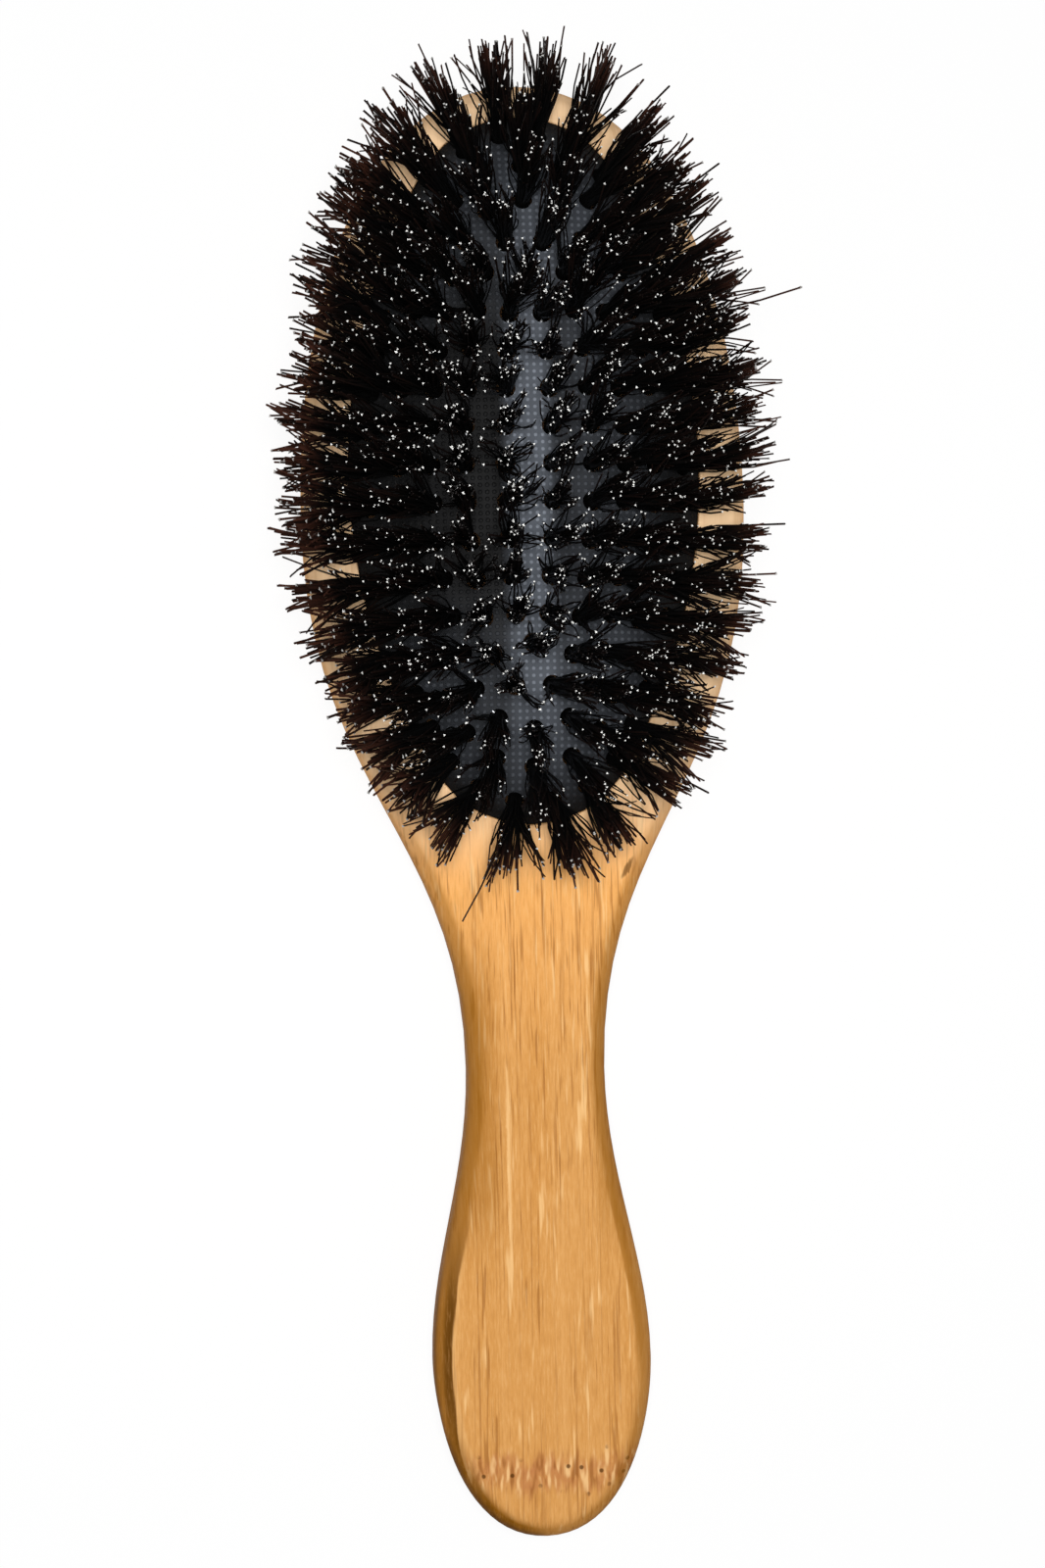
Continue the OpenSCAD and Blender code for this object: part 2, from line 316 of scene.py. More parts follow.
class Finish:
    """The nodes of a material or of the world, from the first to the output."""

    def __init__(self, block):
        self.block = block
        block.use_nodes = True
        self.tree = block.node_tree
        self.tree.nodes.clear()

    def node(self, kind, settings=None, values=None, output=0):
        """Adds a node: its settings first, then the values or links of its sockets."""
        node = self.tree.nodes.new(kind)
        for name, value in (settings or {}).items():
            setattr(node, name, value)
        for name, value in (values or {}).items():
            socket = node.inputs[name]
            if isinstance(value, Value):
                self.tree.links.new(value.socket, socket)
            else:
                socket.default_value = value
        return None if output is None else Value(self, node.outputs[output])

    def place(self):
        """The point on the piece, in millimetres."""
        point = self.node("ShaderNodeTexCoord", output="Object")
        return self.node(
            "ShaderNodeVectorMath", {"operation": "SCALE"}, {0: point, "Scale": 1 / MM})

    def parts(self, vector):
        split = self.node("ShaderNodeSeparateXYZ", {}, {0: vector}).socket.node
        return [Value(self, socket) for socket in split.outputs]

    def vector(self, x, y, z):
        return self.node("ShaderNodeCombineXYZ", {}, {0: x, 1: y, 2: z})

    def noise(self, vector, detail=2.0, roughness=0.5, scale=1.0):
        return self.node(
            "ShaderNodeTexNoise", {},
            {"Vector": vector, "Scale": scale, "Detail": detail, "Roughness": roughness})

    def attribute(self, name):
        return self.node("ShaderNodeAttribute", {"attribute_name": name}, output="Fac")

    def mix(self, factor, below, above):
        """Colour above over colour below."""
        return self.node(
            "ShaderNodeMix", {"data_type": "RGBA"},
            {0: factor, 6: opaque(below), 7: opaque(above)}, output=2)

    def layered(self, body, *coats):
        """Colours laid over a body colour in turn, each given as its amount and itself."""
        for amount, tone in coats:
            body = self.mix(amount, body, tone)
        return body

    def bump(self, height, distance, strength):
        return self.node(
            "ShaderNodeBump", {},
            {"Height": height, "Distance": distance, "Strength": strength})

    def surface(self, **sockets):
        """Ends the material in a Principled surface with these sockets."""
        shader = self.node(
            "ShaderNodeBsdfPrincipled", {},
            {name.replace("_", " "): value for name, value in sockets.items()})
        return self.ends_in(shader)

    def ends_in(self, shader, kind="ShaderNodeOutputMaterial"):
        self.node(kind, {}, {"Surface": shader}, output=None)
        return self.block


def new_finish(name):
    return Finish(bpy.data.materials.new(name))


def opaque(value):
    return value if isinstance(value, Value) else (*value, 1.0)


# ---- The photograph's camera ------------------------------------------------


def camera_axes(view):
    """The camera's matrix from its eye, aim and roll."""
    eye = Vector(view.eye)
    back = (eye - Vector(view.aim)).normalized()
    right = Vector((math.sin(view.roll), math.cos(view.roll), 0)).cross(back).normalized()
    return axes_at(eye, right, back.cross(right), back)


def axes_at(origin, x, y, z):
    """The matrix that has these three axes at an origin."""
    axes = Matrix((x, y, z)).transposed().to_4x4()
    axes.translation = origin
    return axes


def in_view(point, view, carrier):
    """The place on carrier, a BVHTree, that shows at an image point."""
    data = bpy.context.scene.camera.data
    axes = camera_axes(view)
    ray = axes.to_3x3() @ Vector((
        point[0] - PHOTO_W / 2 + data.shift_x * LONG_SIDE,
        PHOTO_H / 2 - point[1] + data.shift_y * LONG_SIDE,
        -LONG_SIDE * view.lens / view.sensor,
    )).normalized()
    hit = carrier.ray_cast(axes.translation, ray)[0]
    if hit is not None:
        return hit
    # A miss takes the place nearest the ray, looked for to each side of the aim's distance
    depth = (Vector(view.aim) - axes.translation).length
    steps = [axes.translation + ray * depth * way for way in np.arange(0.8, 1.1, 0.005)]
    return min((carrier.find_nearest(step) for step in steps), key=lambda near: near[3])[0]


def shown_at(places, view):
    """Where points of the frame show in the photograph's frame, as rows of x, y."""
    inverse = np.array(camera_axes(view).inverted())
    seen = np.asarray(places) @ inverse[:3, :3].T + inverse[:3, 3]
    scale = LONG_SIDE * view.lens / view.sensor / -seen[:, 2]
    return np.stack([PHOTO_W / 2 + seen[:, 0] * scale, PHOTO_H / 2 - seen[:, 1] * scale], 1)


def corners(piece):
    """The finished vertices of a piece, as rows."""
    found = np.zeros(len(piece.data.vertices) * 3)
    piece.data.vertices.foreach_get("co", found)
    return found.reshape(-1, 3)


# ---- Modelling helpers ------------------------------------------------------


def only(piece):
    """Selects this piece and nothing else."""
    bpy.ops.object.select_all(action="DESELECT")
    piece.select_set(True)
    bpy.context.view_layer.objects.active = piece
    return piece


def choose_edges(piece, wanted):
    """In edit mode, selects the edges for which wanted is true."""
    bpy.ops.mesh.select_mode(type="EDGE")
    bpy.ops.mesh.select_all(action="DESELECT")
    mesh = bmesh.from_edit_mesh(piece.data)
    for edge in mesh.edges:
        edge.select_set(wanted(edge))
    mesh.select_flush_mode()
    bmesh.update_edit_mesh(piece.data)


def close_shape():
    """Turns the faces of the shape in edit mode outwards, and leaves edit mode."""
    bpy.ops.mesh.select_all(action="SELECT")
    bpy.ops.mesh.normals_make_consistent(inside=False)
    bpy.ops.object.mode_set(mode="OBJECT")


def smooth(piece, degrees):
    """Shades a piece smoothly where its faces meet at less than this angle."""
    only(piece)
    bpy.ops.object.shade_smooth_by_angle(angle=math.radians(degrees))


def apply_modifier(piece, kind, **settings):
    only(piece)
    modifier = piece.modifiers.new(kind.title(), kind)
    for name, value in settings.items():
        setattr(modifier, name, value)
    bpy.ops.object.modifier_apply(modifier=modifier.name)


def finish_piece(piece, name, material, body, slot, *nodes):
    """Names a piece, gives it its material and sets it in the frame for its CAD nodes."""
    piece.name = piece.data.name = name
    paint(piece, material)
    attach(piece, body)
    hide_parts(*nodes)


def paint(piece, material):
    piece.data.materials.clear()
    piece.data.materials.append(material)


def join(pieces):
    """Joins pieces into the first of them."""
    bpy.ops.object.select_all(action="DESELECT")
    for piece in pieces:
        piece.select_set(True)
    bpy.context.view_layer.objects.active = pieces[0]
    bpy.ops.object.join()
    return pieces[0]


def add_object(name, data):
    added = bpy.data.objects.new(name, data)
    bpy.context.scene.collection.objects.link(added)
    return added


def copy_of(piece, name):
    """A copy with its own mesh."""
    return add_object(name, piece.data.copy())


def solids(node):
    """The points of each separate solid of a CAD node."""
    mesh = bmesh.new()
    mesh.from_mesh(frame["nodes"][node].data)
    bmesh.ops.remove_doubles(mesh, verts=mesh.verts, dist=SAME_PLACE)
    waiting, found = set(mesh.verts), []
    for start in mesh.verts:
        if start not in waiting:
            continue
        waiting.discard(start)
        solid = [start]
        for corner in solid:
            for edge in corner.link_edges:
                other = edge.other_vert(corner)
                if other in waiting:
                    waiting.discard(other)
                    solid.append(other)
        found.append(np.array([corner.co for corner in solid]))
    mesh.free()
    return found


def long_axis(points):
    """The middles of the two ends of a long round solid, the lower end first."""
    along = np.linalg.eigh(np.cov(points.T))[1][:, 2]
    travel = points @ along
    end_depth = 0.05 * MM
    low = points[travel < travel.min() + end_depth].mean(0)
    high = points[travel > travel.max() - end_depth].mean(0)
    return (low, high) if high[2] >= low[2] else (high, low)


# ---- Materials --------------------------------------------------------------


def bamboo(name, wood, node_y, mark, darker=0.0):
    """Bamboo with its fibres along Y, a growth ring at node_y and a mark by the neck.

    Inside, lengths and the mark are in millimetres. darker is more oil in the edges.
    """
    finish = new_finish(name)
    x, y, z = finish.parts(finish.place())
    drift = finish.noise(finish.vector(x / 26, y / 70, z / 26), detail=1.0) - 0.5
    x = x + drift * 1.6
    normal = finish.node("ShaderNodeNewGeometry", output="Normal")
    sideways, _, upwards = finish.parts(normal)
    facing = abs(upwards)

    def fibres(width, run, shift, detail=2.0, roughness=0.5):
        """Noise drawn out along the brush."""
        return finish.noise(
            finish.vector(x / width + shift, y / run + shift, z / width / 3),
            detail, roughness)

    strips = fibres(6, 150, 3.1)
    streaks = fibres(1.5, 80, 11.7, 4.0, 0.62)
    fine = fibres(0.3, 3, 91, 3.0, 0.7)
    crowd = fibres(2.6, 34, 57)
    lines = fibres(0.5, 30, 23, 1.5).rises(0.53, 0.66) * crowd.rises(0.34, 0.6)
    bundles = (fibres(0.55, 12, 31, 1.5) + crowd * 0.3).rises(0.8, 0.9)
    glints = (fibres(0.8, 10, 41, 1.0) + fibres(3.2, 60, 71) * 0.4).rises(0.85, 0.98)
    # Short dark and pale dashes crowd the neck, and the head is plainer, with painted light that
    # makes it paler, most on its upward faces
    dashes = fibres(0.5, 10, 47, 1.5)
    busy = y.rises(-124, -92) * 0.88 + 0.12
    head = y.rises(-66, -44)
    grain = ((0.55 - streaks) * 2).clamped() * 0.3 + lines * 0.2
    body = finish.layered(
        wood.shade,
        ((strips * 0.8 + streaks * 1.2 - 0.5).clamped(), wood.face),
        (y.rises(-98, -52) * 0.9, wood.neck),
        ((fine - 0.5).clamped() * 1.1, wood.glint),
        ((0.5 - fine).clamped() * 0.9, wood.fibre),
        (lines * 0.42, wood.fibre),
        (bundles * 0.5, wood.fibre),
        (glints * 0.55, wood.glint),
        (dashes.rises(0.59, 0.7) * busy * 0.5, wood.fibre),
        (dashes.falls(0.28, 0.4) * busy * 0.42, wood.glint),
        # Painted light on the head's rim, strongest on faces turned up
        (head * (upwards.rises(0.15, 0.75) * 0.62 + 0.3), wood.head),
        (grain * head, wood.shade),
    )

    # The growth ring: a ragged band of short tongues of fibre, each with a painted highlight on
    # one side and painted shade on the other, with a few round pores
    def tongues(shift):
        return finish.noise(finish.vector((x + shift) / 1.9 + 5, y / 6.5, z / 1.9))

    half = wood.node_width / MM / 2
    raggedness = finish.noise(finish.vector(x / 1.1, 3.0, z / 1.1)) - 0.5
    ring = abs(y - node_y / MM + raggedness * 7).falls(half - 2.2, half + 0.4)
    slope = tongues(0.2) - tongues(-0.2)
    pale = slope.rises(0.01, 0.1) * ring
    dark = (0 - slope).rises(0.01, 0.1) * ring
    cloud = finish.noise(finish.vector(x / 6, y / 3, z / 6), detail=3.0)
    cells = finish.node(
        "ShaderNodeTexVoronoi", {"voronoi_dimensions": "2D"},
        {"Vector": finish.vector(x / 3.4, y / 3.4, 0.0), "Scale": 1.0})
    pores = cells.falls(0.06, 0.13) * ring

    # The short dark mark beside the cushion, which lies aslant across the fibres
    along_mark = (x - mark[0]) * 0.5 + (y - mark[1]) * 0.87
    across_mark = (x - mark[0]) * 0.87 - (y - mark[1]) * 0.5 + fine * 1.2 - 0.6
    spot = (along_mark * along_mark / 5 + across_mark * across_mark / 0.3).falls(0.2, 1.0)
    body = finish.layered(
        body,
        (ring * (cloud * 1.8 - 0.3).clamped() * 0.9, wood.node),
        # The tongues' painted shade and painted highlight
        (dark * 0.6, wood.fibre),
        (pale * 0.65, wood.glint),
        (pores * 0.8, wood.crease),
        (spot * 0.7, wood.crease),
    )

    # Sanded edges cut across the fibres and take the oil darker, and painted shade darkens them
    # further: most on the left-facing edges, in a golden band down both sides of the waist that
    # is stronger on the left, in a painted shadow line at the crease left of the grip and along
    # the steep left side, and on the right edge of the grip. Left of the neck they run softly
    # into the face, and left of the grip they meet it in a crease, with a painted highlight (lip)
    # just inside it. grip, waist, butt and flare are stretches of the handle
    left = (0 - sideways).rises(-0.05, 0.2)
    grip = y.falls(-132, -110)
    waist = y.rises(-126, -108) * y.falls(-86, -66)
    butt = y.falls(-160, -142)
    soft = facing.falls(0.8, 0.985)
    limit = 0.95 - butt * 0.3
    crisp = (facing + (streaks - 0.5) * 0.08).falls(limit - 0.03, limit + 0.005)
    edge = soft + (crisp - soft) * left * grip * (1 - butt)
    golden = (0 - x).rises(4.5, 9.0) * 0.5 + x.rises(7.8, 9.6) * 0.34
    oil_and_shade = left * grip * 0.35 + 0.5 + darker + left * butt * 0.1
    crease = crisp * facing.rises(0.55, 0.94) * left * grip * (1 - butt * 0.7)
    shade_streaks = edge * left * grip * (streaks - 0.42).clamped()
    flare = y.rises(-142, -134) * y.falls(-116, -104) * (1 - left)
    rolled = facing.falls(0.2 + butt * 0.3, 0.55 + butt * 0.3)
    lip = (facing.falls(0.97, 0.99) - crisp).clamped() * streaks * (1 - butt)
    # One long pale streak, a painted highlight, runs down the neck, and a glue line lies in each
    # joint of the layers
    beam = abs(x + 5.0 + (fine - 0.5) * 0.9).falls(0.1, 0.4)
    beam = beam * y.rises(-124, -114) * y.falls(-100, -90)
    ply = wood.ply / MM
    seam = abs(z - ply).lower(abs(z - 2 * ply)).falls(0.03, 0.11)
    # The edges' oil and painted shade, the painted shadow lines, the painted highlights and the
    # glue lines
    body = finish.layered(
        body,
        (golden * waist, wood.edge),
        (edge * oil_and_shade * (streaks * 0.5 + 0.75) * (1 - head * 0.6), wood.edge),
        (crease * 0.75, wood.crease),
        (shade_streaks * 1.6, wood.crease),
        (edge * left * grip * (0.5 - fine).clamped(), wood.face),
        (crisp * facing.rises(0.6, 0.9) * flare * 0.5, wood.edge),
        (rolled * left * (0.12 + grip * 0.18 + butt * 0.2), wood.crease),
        (lip * left * grip * 0.4, wood.glint),
        (beam * 0.5, wood.glint),
        (seam * 0.8, wood.glue),
    )

    relief = streaks * 0.5 + fine * 0.4 - lines * 0.3 - bundles * 0.6 + glints * 0.2
    relief = relief - dashes * 0.3 - pores + pale * 0.6 - dark * 0.6
    return finish.surface(
        Base_Color=body,
        Roughness=0.5 + streaks * 0.12 + bundles * 0.1,
        Specular_IOR_Level=0.02,
        Normal=finish.bump(relief, 0.05 * MM, 0.55),
    )


def moulded_rubber(cushion):
    """Black rubber with a grid of small moulded dots."""
    finish = new_finish("moulded_rubber")
    place = finish.place()
    x, y, z = finish.parts(place)
    turn = 2 * math.pi / (cushion.dot_pitch / MM)
    dots = ((x * turn).wave() * 0.5 + 0.5) * ((y * turn).wave() * 0.5 + 0.5)
    dots = dots.rises(0.2, 0.75)
    wear = finish.noise(place, 3.0, 0.6, 0.35)
    grit = finish.noise(place, 2.0, 0.5, 9.0)
    body = finish.mix(dots, cushion.hollow, cushion.colour)
    # Painted light makes the rubber pale along its spine, where light reaches it between the
    # tufts, paler to the right and towards the ends, and it stays dark to the left and at the
    # rim, in painted shade
    crown = (cushion.face_height + cushion.rise) / MM
    spine = abs(x).falls(1.6, 4.8) * (1 - abs(y + 4.0).rises(14.0, 40.0) * 0.68)
    painted_light = spine * 0.84 + x.rises(-1.0, 6.0) * 0.22
    painted_light = painted_light * (z + wear * 1.2).rises(crown - 5.0, crown - 0.5)
    painted_light = painted_light + abs(y).rises(16.0, 34.0) * z.rises(crown - 8.0, crown - 4.5) * 0.19
    body = finish.mix(painted_light, cushion.rim_colour, body)
    return finish.surface(
        Base_Color=body,
        Roughness=0.5 + wear * 0.2 + grit * 0.1,
        Specular_IOR_Level=0.15,
        Normal=finish.bump(dots + grit * 0.12, 0.12 * MM, 0.8),
    )


def boar_bristle(tufts):
    """Dark bristles, each a little different, with some cut ends pale and painted white as
    highlights.
    """
    finish = new_finish("boar_bristle")
    along = finish.attribute("along")
    growth = finish.attribute("growth")
    place = finish.place()
    # Tips near this oval show brown, and fewer of their cut ends carry the painted highlight
    half_width, half_length = 34, 63
    x, y, _ = finish.parts(place)
    outer = (x * x / half_width**2 + y * y / half_length**2).rises(0.8, 1.0)
    flecks = finish.noise(place, 2.0, 0.6, 2.2)
    brown = (growth * 0.8 + (flecks - 0.45).clamped()) * along.rises(0.4, 1.0)
    body = finish.mix(brown * (outer * 0.85 + 0.15), tufts.dark, tufts.brown)
    # Painted highlight on the cut ends, fewer towards the outer ring
    pale = along.rises(0.985, 1.0) * finish.attribute("pale") * (1 - outer * 0.6)
    body = finish.mix(pale, body, tufts.cut_end_highlight)
    scales = finish.noise(place, 2.0, 0.5, 14.0)
    return finish.surface(
        Base_Color=body,
        Roughness=0.36 + flecks * 0.25,
        Specular_IOR_Level=0.16,
        Normal=finish.bump(scales, 0.02 * MM, 0.5),
    )


def drawn_wire(pins):
    """Bright drawn wire, a little dulled."""
    finish = new_finish("drawn_wire")
    place = finish.place()
    dull = finish.noise(place, 3.0, 0.6, 0.9)
    lines = finish.noise(place, 1.0, 0.5, 24.0)
    body = finish.mix(dull.rises(0.45, 0.75) * 0.5, pins.colour, (0.12, 0.12, 0.12))
    return finish.surface(
        Base_Color=body, Metallic=1.0, Roughness=0.28 + dull * 0.25,
        Normal=finish.bump(lines, 0.01 * MM, 0.4),
    )


# ---- Ovals ------------------------------------------------------------------


def oval(half_width, half_length, end_radius, count):
    """Points round an oval of four arcs, evenly spaced, from +X anticlockwise."""
    side_radius = (half_width**2 + (half_length - end_radius) ** 2 - end_radius**2) / (
        2 * (half_width - end_radius))
    side_angle = math.atan2(half_length - end_radius, side_radius - half_width)
    side = side_radius * side_angle
    quarter = side + end_radius * (math.pi / 2 - side_angle)
    points = []
    for i in range(count):
        turn, part = divmod(4 * quarter * i / count, quarter)
        travel = quarter - part if turn % 2 else part
        if travel < side:
            angle = travel / side_radius
            x = half_width - side_radius * (1 - math.cos(angle))
            y = side_radius * math.sin(angle)
        else:
            angle = side_angle + (travel - side) / end_radius
            x = end_radius * math.cos(angle)
            y = half_length - end_radius * (1 - math.sin(angle))
        points.append((x if turn in (0, 3) else -x, y if turn < 2 else -y))
    return points


def start_ring(outline, height):
    """A circle primitive laid on an outline, in edit mode and selected."""
    bpy.ops.object.select_all(action="DESELECT")
    bpy.ops.mesh.primitive_circle_add(vertices=len(outline), radius=0.01)
    ring = bpy.context.object
    bpy.ops.object.mode_set(mode="EDIT")
    lay_ring(ring, outline, height)
    return ring


def lay_ring(piece, outline, height):
    """Lays the selected ring of vertices on an outline at a height, one after another."""
    mesh = bmesh.from_edit_mesh(piece.data)
    chosen = [corner for corner in mesh.verts if corner.select]
    start = max(chosen, key=lambda corner: (corner.co.x, -abs(corner.co.y)))
    row = [start]
    ahead = [e.other_vert(start) for e in start.link_edges if e.other_vert(start).select]
    row.append(max(ahead, key=lambda corner: corner.co.y))
    while len(row) < len(chosen):
        ahead = [e.other_vert(row[-1]) for e in row[-1].link_edges]
        row.append(next(
            corner for corner in ahead if corner.select and corner is not row[-2]))
    for corner, (x, y) in zip(row, outline):
        corner.co = (x, y, height)
    bmesh.update_edit_mesh(piece.data)


def extrude_to(piece, outline, height):
    """Extrudes the selected ring and lays the new one on an outline."""
    bpy.ops.mesh.extrude_edges_move()
    lay_ring(piece, outline, height)


# ---- Operators --------------------------------------------------------------


class HAIRBRUSH_OT_camera(bpy.types.Operator):
    """Adds the camera of the photograph"""

    bl_idname = "hairbrush.camera"
    bl_label = "Camera"

    def execute(self, context):
        view = context.scene.brush_view
        data = bpy.data.cameras.new("photo_camera")
        data.sensor_fit = "AUTO"
        data.sensor_width = view.sensor
        data.lens = view.lens
        data.clip_start = 0.01
        camera = add_object("photo_camera", data)
        axes = camera_axes(view)
        camera.location = axes.translation
        camera.rotation_euler = axes.to_euler()
        context.scene.camera = camera
        return {"FINISHED"}


class HAIRBRUSH_OT_wood(bpy.types.Operator):
    """Finishes the three layers of the bamboo body"""

    bl_idname = "hairbrush.wood"
    bl_label = "Wood"

    def execute(self, context):
        wood = context.scene.brush_wood
        view = context.scene.brush_view
        cushion = context.scene.brush_cushion
        front = self.layer("front_ply")
        self.soften_rim(front, wood, cushion)
        tree = BVHTree.FromObject(front, context.evaluated_depsgraph_get())
        node_y = in_view(IMAGE_POINTS["bamboo_node"], view, tree).y
        mark = in_view(IMAGE_POINTS["grain_mark"], view, tree) / MM
        face = bamboo("bamboo_face", wood, node_y, mark)
        core = bamboo("bamboo_core", wood, node_y, mark, darker=0.12)
        for piece, name, material, slot, node in (
            (front, "wood_front", face, "bamboo_face", "front_ply"),
            (self.layer("core_ply"), "wood_core", core, "bamboo_core", "core_ply"),
            (self.layer("back_ply"), "wood_back", face, "bamboo_face", "back_ply"),
        ):
            smooth(piece, 35)
            apply_modifier(piece, "WEIGHTED_NORMAL", keep_sharp=True, weight=90)
            finish_piece(piece, name, material, "wood", slot, node)
        context.scene["bamboo_node_y"] = node_y
        context.scene["grain_mark"] = mark * MM
        return {"FINISHED"}

    def layer(self, node):
        """A merged copy of a layer's CAD mesh."""
        piece = only(copy_of(frame["nodes"][node], node + "_copy"))
        bpy.ops.mesh.customdata_custom_splitnormals_clear()
        bpy.ops.object.mode_set(mode="EDIT")
        bpy.ops.mesh.select_all(action="SELECT")
        bpy.ops.mesh.remove_doubles(threshold=SAME_PLACE)
        bpy.ops.mesh.dissolve_limited(angle_limit=math.radians(0.2))
        bpy.ops.object.mode_set(mode="OBJECT")
        return piece

    def soften_rim(self, piece, wood, cushion):
        """Rounds the front edge of the cushion's opening."""
        def on_rim(edge):
            """Whether the edge lies in the wood's face, with the opening's wall below it."""
            rises = [face.normal.z for face in edge.link_faces]
            return (
                all(abs(corner.co.z - cushion.face_height) < SAME_PLACE for corner in edge.verts)
                and any(abs(rise) < 0.1 for rise in rises)
                and any(rise > 0.9 for rise in rises))

        only(piece)
        bpy.ops.object.mode_set(mode="EDIT")
        choose_edges(piece, on_rim)
        bpy.ops.mesh.bevel(offset=wood.rim_softening, segments=3, affect="EDGES")
        bpy.ops.object.mode_set(mode="OBJECT")


class HAIRBRUSH_OT_cushion(bpy.types.Operator):
    """Models the rubber cushion: the dome, and the neck with its lip"""

    bl_idname = "hairbrush.cushion"
    bl_label = "Cushion"

    points_round = 128
    levels = 18
    top_half_width = 1.2 * MM
    # How far a punch reaches above and below the rubber's surface
    punch_above = 3.8 * MM
    punch_below = 3.2 * MM

    def execute(self, context):
        cushion = context.scene.brush_cushion
        rubber = moulded_rubber(cushion)
        dome = self.dome(cushion)
        self.pierce(dome, cushion)
        smooth(dome, 32)
        finish_piece(dome, "cushion_dome", rubber, "wood", "rubber", "cushion")
        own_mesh(dome)
        neck = self.neck(cushion)
        smooth(neck, 35)
        finish_piece(neck, "cushion_neck", rubber, "wood", "rubber", "cushion")
        return {"FINISHED"}

    def dome(self, cushion):
        """The shell of the dome: its outer skin, its rim at the wood's face, its inner skin."""
        inner = cushion.half_width - cushion.rubber
        shell = start_ring(self.level_oval(cushion, cushion.half_width), cushion.face_height)
        self.raise_skin(shell, cushion, cushion.half_width, cushion.rise)
        choose_edges(shell, lambda edge: edge.is_boundary)
        extrude_to(shell, self.level_oval(cushion, inner), cushion.face_height)
        self.raise_skin(shell, cushion, inner, cushion.rise - cushion.rubber)
        close_shape()
        return shell

    def raise_skin(self, shell, cushion, half_width, rise):
        """Extrudes the selected ring up one skin of the dome, to its narrow flat top."""
        for level in range(1, self.levels + 1):
            slope = math.sin(math.pi / 2 * (1 - level / self.levels))
            width = self.top_half_width + (half_width - self.top_half_width) * slope
            height = cushion.face_height + rise * (1 - (width / half_width) ** cushion.fullness)
            extrude_to(shell, self.level_oval(cushion, width), height)
        bpy.ops.mesh.edge_face_add()

    def level_oval(self, cushion, half_width):
        """The level of the dome with this half width."""
        drawn_in = (cushion.half_width - half_width) * cushion.end_spread
        return oval(half_width, cushion.half_length - drawn_in,
                    cushion.end_radius * half_width / cushion.half_width, self.points_round)

    def pierce(self, dome, cushion):
        """Cuts a hole for each tuft, and the vent."""
        punches = []
        for ring in RINGS:
            for axes in tuft_places(ring):
                punches.append(self.punch(axes, cushion.hole, cushion.hole_flare))
        vent = Matrix.Translation((0, -cushion.vent_place, cushion.face_height))
        punches.append(self.punch(vent, cushion.vent, 0.0))
        cutter = join(punches)
        apply_modifier(dome, "BOOLEAN", operation="DIFFERENCE", solver="MANIFOLD", object=cutter)
        bpy.data.objects.remove(cutter)

    def punch(self, axes, width, flare):
        """A cone with this width at the origin of the axes."""
        above, below = self.punch_above, self.punch_below
        bpy.ops.mesh.primitive_cone_add(
            vertices=20, radius1=width / 2 + flare * below, radius2=width / 2 - flare * above,
            depth=above + below, location=(0, 0, (above - below) / 2))
        bpy.ops.object.transform_apply()
        punch = bpy.context.object
        punch.data.transform(axes)
        return punch

    def neck(self, cushion):
        """The neck in the opening and the lip under the front layer, one closed profile."""
        profile = (
            (0, cushion.face_height), (0, cushion.lip_top),
            (cushion.lip_reach, cushion.lip_top), (cushion.lip_reach, cushion.lip_bottom),
            (-cushion.rubber, cushion.lip_bottom), (-cushion.rubber, cushion.face_height),
        )
        rows = [
            (oval(cushion.half_width + grow, cushion.half_length + grow,
                  cushion.end_radius + grow, self.points_round), height)
            for grow, height in profile]
        neck = start_ring(*rows[0])
        for outline, height in [*rows[1:], rows[0]]:
            extrude_to(neck, outline, height)
        bpy.ops.mesh.select_all(action="SELECT")
        bpy.ops.mesh.remove_doubles(threshold=SAME_PLACE)
        close_shape()
        return neck


def tuft_places(ring):
    """The axes of each tuft of a ring, anticlockwise, with the root on the rubber.

    Local Z runs along the bristles and local Y along the pin.
    """
    free = bpy.context.scene.brush_tufts.length
    pins = [long_axis(points) for points in solids(f"anchor_pins_ring_{ring}")]
    places = []
    for points in solids(f"bristles_ring_{ring}"):
        fold, tip = (Vector(end) for end in long_axis(points))
        along = (tip - fold).normalized()
        root = tip - along * free
        near = min(pins, key=lambda ends: (Vector((ends[0] + ends[1]) / 2) - fold).length)
        side = Vector(near[1] - near[0]).cross(along).normalized()
        if side.dot(Vector((root.x, root.y, 0))) < 0:
            side = -side
        places.append(axes_at(root, side, along.cross(side), along))
    return sorted(places, key=lambda axes: math.atan2(axes.translation.y, axes.translation.x))


